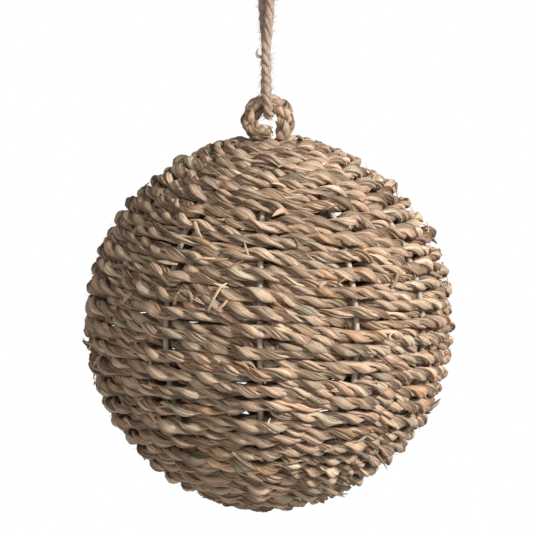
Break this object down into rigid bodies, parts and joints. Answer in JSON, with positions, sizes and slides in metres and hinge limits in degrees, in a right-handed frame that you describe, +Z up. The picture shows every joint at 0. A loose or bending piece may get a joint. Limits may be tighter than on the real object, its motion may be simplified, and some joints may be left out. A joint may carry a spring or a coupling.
{
  "type": "hanging woven decorative ball",
  "caption": "Round openwork decorative ball of seagrass rope woven on a wire frame, with a rope ring on top and a doubled jute cord to hang it by.",
  "frame": {"origin": "top of the hanger knot, the point that the ball hangs from", "axes": "+Z up along the hanger and through the ball's poles, -Y towards the front, +X to the right"},
  "size_m": [0.1483, 0.1478, 0.2175],
  "materials": {
    "seagrass_rope": "matte",
    "jute_cord": "matte",
    "painted_wire": "satin"
  },
  "bodies": {
    "root": {"wire_frame": "painted_wire", "woven_rope": "seagrass_rope", "rope_ring": "seagrass_rope", "hanger_cord": "jute_cord", "hanger_knot": "jute_cord"}
  },
  "joints": []
}
